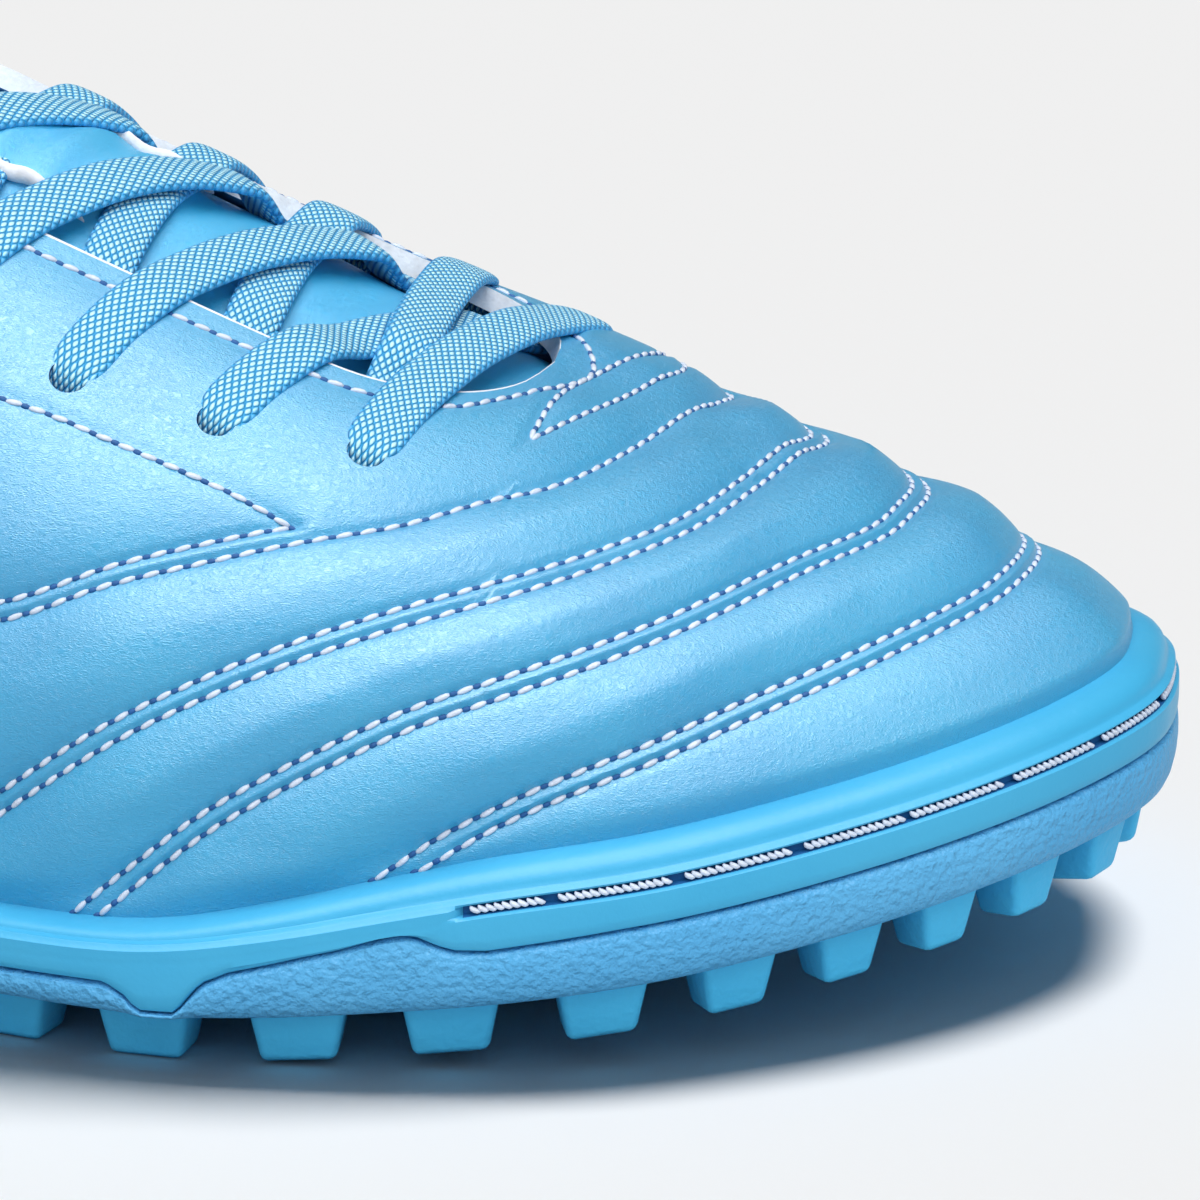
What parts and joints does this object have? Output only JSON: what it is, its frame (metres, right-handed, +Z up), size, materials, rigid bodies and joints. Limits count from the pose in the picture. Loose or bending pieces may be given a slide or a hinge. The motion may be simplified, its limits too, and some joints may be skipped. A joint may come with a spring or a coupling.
{
  "type": "turf shoe",
  "caption": "Low turf shoe for the right foot: quilted synthetic leather upper with criss-cross laces on a cup sole with short tapered lugs.",
  "frame": {"origin": "centre of the footprint's bounding box, on the floor", "axes": "+X towards the toe, +Y towards the inner side of the foot, +Z up"},
  "size_m": [0.2902, 0.1039, 0.1075],
  "materials": {
    "outsole_rubber": "fine-textured tonal blue rubber",
    "midsole_rubber": "smooth satin tonal blue rubber",
    "insole_fabric": "matt knitted lining",
    "upper_leather": "pebbled synthetic leather, satin, with pale stitching",
    "tongue_leather": "pebbled synthetic leather, satin",
    "lace_braid": "flat braided lace with light flecks"
  },
  "bodies": {
    "root": {"outsole": "outsole_rubber", "midsole": "midsole_rubber", "insole": "insole_fabric", "upper": "upper_leather", "tongue": "tongue_leather", "lace_bar": "lace_braid", "lace_crossing_1": "lace_braid", "lace_crossing_2": "lace_braid", "lace_crossing_3": "lace_braid", "lace_crossing_4": "lace_braid"}
  },
  "joints": []
}
